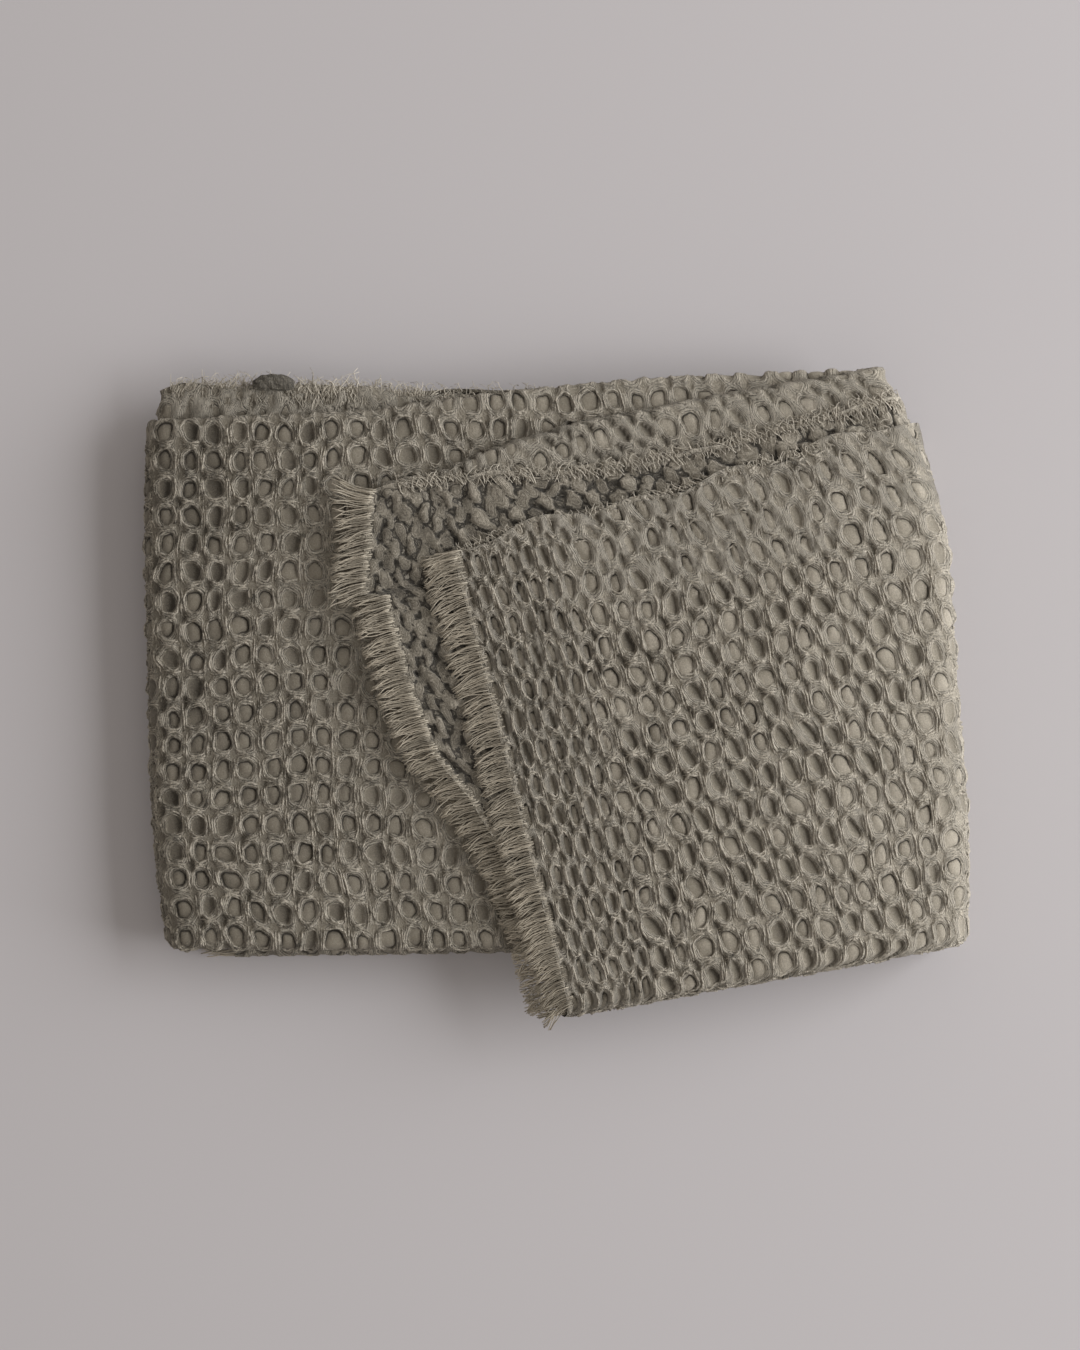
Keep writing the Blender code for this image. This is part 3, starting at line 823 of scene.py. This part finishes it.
def yarn_mesh(name, paths, radii, material, sides=4):
    """Tubes, one along each path, joined in one mesh and closed at both ends. paths is
    (yarns, points, 3) in metres and radii (yarns, points). The sides are set out from each path's
    direction and the upright."""
    yarns, points = radii.shape
    along = unit(np.gradient(paths, axis=1))
    flat = unit(np.cross(along, [0.031, 0.017, 1.0]))
    upright = np.cross(flat, along)
    turn = 2 * math.pi * np.arange(sides) / sides
    ring = flat[:, :, None] * np.cos(turn)[:, None] + upright[:, :, None] * np.sin(turn)[:, None]
    corners = paths[:, :, None] + ring * radii[:, :, None, None]
    index = np.arange(yarns * points * sides).reshape(yarns, points, sides)
    ahead = np.roll(index, -1, axis=2)
    quads = np.stack([index[:, :-1], index[:, 1:], ahead[:, 1:], ahead[:, :-1]], axis=-1).reshape(-1, 4)
    caps = np.concatenate([index[:, -1, ::-1], index[:, 0]])
    faces = quads.tolist() + caps.tolist()
    mesh = bpy.data.meshes.new(name)
    mesh.from_pydata(corners.reshape(-1, 3), [], faces)
    share = np.broadcast_to(np.linspace(0, 1, points)[None, :, None], index.shape)
    own = np.broadcast_to(np.random.default_rng(yarns).random(yarns)[:, None, None], index.shape)
    for key, values in (("along", share), ("own", own)):
        attribute = mesh.attributes.new(key, "FLOAT", "POINT")
        attribute.data.foreach_set("value", values.reshape(-1).astype(np.float32))
    return linked(name, mesh, material)


def linen_yarn(name, light, dark):
    """Loose linen yarn: each its own shade, lighter towards the tip, with the slubs of its twist."""
    material = bpy.data.materials.new(name)
    material.use_nodes = True
    nodes, links = material.node_tree.nodes, material.node_tree.links
    shader = nodes["Principled BSDF"]
    share = None
    for key, weight in (("own", 0.62), ("along", 0.22)):
        attribute = nodes.new("ShaderNodeAttribute")
        attribute.attribute_name = key
        part = nodes.new("ShaderNodeMath")
        part.operation = "MULTIPLY_ADD"
        part.inputs[1].default_value = weight
        part.inputs[2].default_value = 0.0
        links.new(attribute.outputs["Fac"], part.inputs[0])
        if share is not None:
            links.new(share, part.inputs[2])
        share = part.outputs[0]
    place = nodes.new("ShaderNodeTexCoord").outputs["Object"]
    slubs = nodes.new("ShaderNodeTexNoise")
    slubs.inputs["Scale"].default_value = 700.0
    slubs.inputs["Detail"].default_value = 3.0
    links.new(place, slubs.inputs["Vector"])
    mixed = nodes.new("ShaderNodeMath")
    mixed.operation = "MULTIPLY_ADD"
    mixed.inputs[1].default_value = 0.6
    links.new(slubs.outputs[0], mixed.inputs[0])
    links.new(share, mixed.inputs[2])
    ramp = nodes.new("ShaderNodeValToRGB")
    ramp.color_ramp.elements[0].position = 0.15
    ramp.color_ramp.elements[0].color = (*dark, 1)
    ramp.color_ramp.elements[1].color = (*light, 1)
    links.new(mixed.outputs[0], ramp.inputs[0])
    links.new(ramp.outputs[0], shader.inputs["Base Color"])
    bump = nodes.new("ShaderNodeBump")
    bump.inputs["Strength"].default_value = 0.8
    bump.inputs["Distance"].default_value = 0.0004
    links.new(slubs.outputs[0], bump.inputs["Height"])
    links.new(bump.outputs[0], shader.inputs["Normal"])
    shader.inputs["Roughness"].default_value = 0.9
    shader.inputs["Specular IOR Level"].default_value = 0.2
    return material


def fringe_paths(q, end, outward, seed, fan, sway, over=0.0, sink=0.0):
    """Paths of the yarns that leave the sheet at these q, at the end of the strip: straight on from
    the warp, drawn together in clumps towards their tips, wavy, and sinking as they go. fan spreads
    those at the back edge, sway bends the tips, over lifts the roots, sink lowers the front."""
    rng = np.random.default_rng(seed)
    count = len(q)
    share = np.linspace(0, 1, STRETCHES + 1)[None]
    reach = FRINGE * (0.90 + 0.12 * rng.random((count, 1))) - 0.6
    s_end = np.full(count, end)
    w, h, across, up = section(q, s_end)
    if outward > 0:
        s_end = end + end_step(q, w)
    path = np.cumsum(np.hypot(np.diff(w, prepend=w[0]), np.diff(h, prepend=h[0])))
    clump = np.floor(path / 4.6 + 0.7 * rng.random(count) + waves(path, path * 0, seed, 30))
    _, which = np.unique(clump, return_inverse=True)
    centre = np.bincount(which, path) / np.bincount(which)
    lean = rng.normal(0, 1.7, len(centre))[which] + 1.6 * waves(path, path * 0, seed + 1, 46)
    reach = reach * rng.uniform(0.84, 1.04, len(centre))[which][:, None]
    root = ROOT * rng.uniform(0.35, 1.5, (count, 1))
    away = -root + (reach + root) * share
    pull = (centre[which] - path) * 0.62 + lean + fan * np.exp(-((path[-1] - path) / 16.0))
    pull = pull + rng.normal(0, 0.5, count)
    drift = pull[:, None] * share**1.4
    phase = rng.random((count, 2, 1)) * 6.283
    curl = np.sin(share * (5 + phase[:, 1]) + phase[:, 0])
    drift = drift + (0.5 + 0.9 * rng.random((count, 1))) * curl * share + sway * share**2
    rise = -0.9 * share**1.5 + 0.5 * np.sin(share * 7 + phase[:, 1]) * share
    rise = rise + rng.normal(0, 0.35, (count, 1))
    along_w, along_h = np.gradient(w), np.gradient(h)
    size = np.hypot(along_w, along_h)
    sideways = (along_w / size)[:, None] * drift, (along_h / size)[:, None] * drift
    clear = over * (1 - share) ** 3 * np.minimum(1, 0.45 + 4 * share)
    rise = rise + clear * (0.6 + 0.6 * rng.random((count, 1)))
    rise = rise - sink * share * smooth(60, -40, w)[:, None]
    w = w[:, None] + sideways[0] + rise * across[:, None]
    h = h[:, None] + sideways[1] + rise * up[:, None]
    path = laid(s_end[:, None] + outward * away, w, h) * MM
    path[..., 2] = np.maximum(path[..., 2], YARN * 1.2 * MM)
    return path


fringe_linen = linen_yarn("fringe_linen", (0.62, 0.555, 0.45), (0.13, 0.114, 0.088))


def fringe(name, rows, end, outward):
    """A fringe of several rows of yarns, each over a stretch of q."""
    paths = [
        fringe_paths(across_steps(first, last, spacing), end, outward, seed, *bends)
        for seed, (first, last, spacing, *bends) in enumerate(rows)
    ]
    paths = np.concatenate(paths)
    radii = YARN * MM * np.linspace(1.05, 0.75, STRETCHES + 1)[None]
    radii = radii * (0.85 + 0.3 * np.random.default_rng(9).random((len(paths), 1)))
    return yarn_mesh(name, paths, radii, fringe_linen)


fringe_on_top = fringe(
    "fringe_yarns_on_top",
    (
        (0.0, 1.02, 1.0, 10.0, 3.5, 3.3),
        (0.0, 1.0, 1.1, 12.0, 5.0, 2.4),
        (1.02, 1.5, 1.2, 0.0, 0.0),
        (6.0, 7.0, 1.0, 14.0, -2.5, -3.3, -4.0),
        (6.0, 7.0, 1.1, 17.0, -4.0, -2.4, -5.0),
        (4.0, 5.0, 1.7, 0.0, 0.0),
        (1.7, 3.0, 1.7, 0.0, 0.0),
    ),
    LAST,
    1,
)
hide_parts("fringe_on_top")
cut_size(*flap_grid)
fringe_underneath = fringe(
    "fringe_yarns_underneath",
    tuple((first, last, 2.0, 0.0, 0.0) for first, last in ((0, 2), (2, 3), (4, 5), (6, 7))),
    0.0,
    -1,
)
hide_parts("fringe_underneath")
cut_size(*underside_grid)

# Threads of weft that have worked loose along the selvedges and curl past them.
FRAY = 0.27  # radius of a loose thread
loose_linen = linen_yarn("loose_linen", (0.66, 0.60, 0.50), (0.20, 0.175, 0.138))


def frayed_paths(q, first, last, spacing, reach, seed):
    """Paths of loose threads along a selvedge, from s = first to last: out of the cloth across the
    strip, and curling round as they go."""
    rng = np.random.default_rng(seed)
    count = round((last - first) / spacing)
    s_edge = first + (last - first) * (np.arange(count) + rng.random(count)) / count
    q_edge = np.full(count, q)
    w, h, _, _ = section(q_edge, s_edge)
    share = np.linspace(0, 1, STRETCHES + 1)[None]
    chances = rng.random((7, count, 1))
    length = reach * (0.35 + 1.1 * chances[0] ** 1.5)
    curl = (chances[1] - 0.5) * 19 * share**1.2
    radius = 0.6 + 1.7 * chances[2]
    root = 1.5 + reach * chances[6] ** 2
    out = -root + (length + root) * share * (1 - 0.3 * share) + radius * np.sin(curl) * share
    sideways = (chances[3] - 0.5) * length * 2.8 * share + radius * (1 - np.cos(curl)) * share
    rise = 1.5 + (0.4 + 1.6 * chances[4]) * np.sin(share * 3) * share - 1.5 * share
    rise = rise + 0.6 * (chances[5] - 0.5)
    number = sum(s_edge > start - math.pi * TURN / 2 for start, _ in STARTS[1:])
    up = np.where(number % 2, 1.0, -1.0)[:, None]
    clear = np.clip(s_edge[:, None] + sideways, first, last)
    return laid(clear, w[:, None] + out, h[:, None] + rise * up) * MM


def frayed_selvedge(name, rows):
    """Loose threads along several selvedges, as one mesh."""
    paths = np.concatenate([frayed_paths(*row, seed) for seed, row in enumerate(rows)])
    radii = FRAY * MM * np.linspace(1.1, 0.6, STRETCHES + 1)[None]
    radii = radii * (0.7 + 0.6 * np.random.default_rng(3).random((len(paths), 1)))
    return yarn_mesh(name, paths, radii, loose_linen, sides=3)


frayed_selvedge(
    "loose_threads_at_back",
    (
        (7.0, 4.0, STARTS[0][1], 2.2, 4.0),
        (0.0, STARTS[1][0], left_fold, 2.0, 4.5),
        (7.0, STARTS[1][0], left_fold, 1.8, 5.0),
        (0.0, STARTS[2][0], sum(STARTS[2]), 1.3, 5.0),
        (7.0, STARTS[2][0], sum(STARTS[2]), 1.1, 5.0),
        (7.0, STARTS[2][0], place_in_pass(2, 0.36), 0.42, 7.5),
        (7.0, STARTS[2][0] + 20, place_in_pass(2, 0.30), 0.85, 12.0),
    ),
)
frayed_selvedge(
    "loose_threads_on_top",
    (
        (0.0, STARTS[3][0], LAST - 3, 0.8, 4.0),
        (7.0, STARTS[3][0], LAST + 20, 0.45, 6.0),
        (7.0, sum(STARTS[2]), STARTS[3][0] + 30, 0.35, 8.0),
    ),
)

# ---------------------------------------------------------------------------------------------
# The floor: a plain pale surface, a little warm.
# ---------------------------------------------------------------------------------------------

FLOOR_SIZE = 3.2
floor_mesh = bpy.data.meshes.new("floor")
half = FLOOR_SIZE / 2
floor_corners = [(-half, -half, 0), (half, -half, 0), (half, half, 0), (-half, half, 0)]
floor_mesh.from_pydata(floor_corners, [], [(0, 1, 2, 3)])
floor = bpy.data.objects.new("floor", floor_mesh)
bpy.context.scene.collection.objects.link(floor)
paint = bpy.data.materials.new("pale_floor")
paint.use_nodes = True
paint_shader = paint.node_tree.nodes["Principled BSDF"]
paint_shader.inputs["Base Color"].default_value = (0.62, 0.59, 0.60, 1)
paint_shader.inputs["Roughness"].default_value = 0.85
paint_shader.inputs["Specular IOR Level"].default_value = 0.2
floor_mesh.materials.append(paint)

# ---------------------------------------------------------------------------------------------
# Light and camera: one large soft light from the right, low enough to shade the cells, a dim sky,
# and a camera straight above.
# ---------------------------------------------------------------------------------------------

CAMERA_HEIGHT = 1.88
AIM = (-0.0092, 0.0101)
LENS, SENSOR = 85.0, 36.0

camera_data = bpy.data.cameras.new("camera")
camera = bpy.data.objects.new("camera", camera_data)
camera_data.sensor_fit = "VERTICAL"
camera_data.sensor_height = SENSOR
camera_data.lens = LENS
camera.location = (AIM[0], AIM[1], CAMERA_HEIGHT)
bpy.context.scene.collection.objects.link(camera)
bpy.context.scene.camera = camera


def soft_light(name, place, target, size, watts, colour):
    """A square area light at a place, turned to face the target."""
    data = bpy.data.lights.new(name, "AREA")
    data.shape = "SQUARE"
    data.size = size
    data.energy = watts
    data.color = colour
    light = bpy.data.objects.new(name, data)
    light.location = place
    towards = np.array(target) - np.array(place)
    pitch = math.atan2(math.hypot(towards[0], towards[1]), -towards[2])
    light.rotation_euler = (pitch, 0.0, math.atan2(-towards[0], towards[1]))
    bpy.context.scene.collection.objects.link(light)


soft_light("window", (3.3, 0.45, 1.32), (0.0, 0.0, 0.0), 3.4, 196.0, (0.97, 0.985, 1.0))
world = bpy.data.worlds.new("dim_room")
bpy.context.scene.world = world
world.use_nodes = True
world.node_tree.nodes["Background"].inputs["Color"].default_value = (1.0, 0.94, 0.88, 1)
world.node_tree.nodes["Background"].inputs["Strength"].default_value = 0.35
bpy.context.scene.view_settings.view_transform = "Standard"
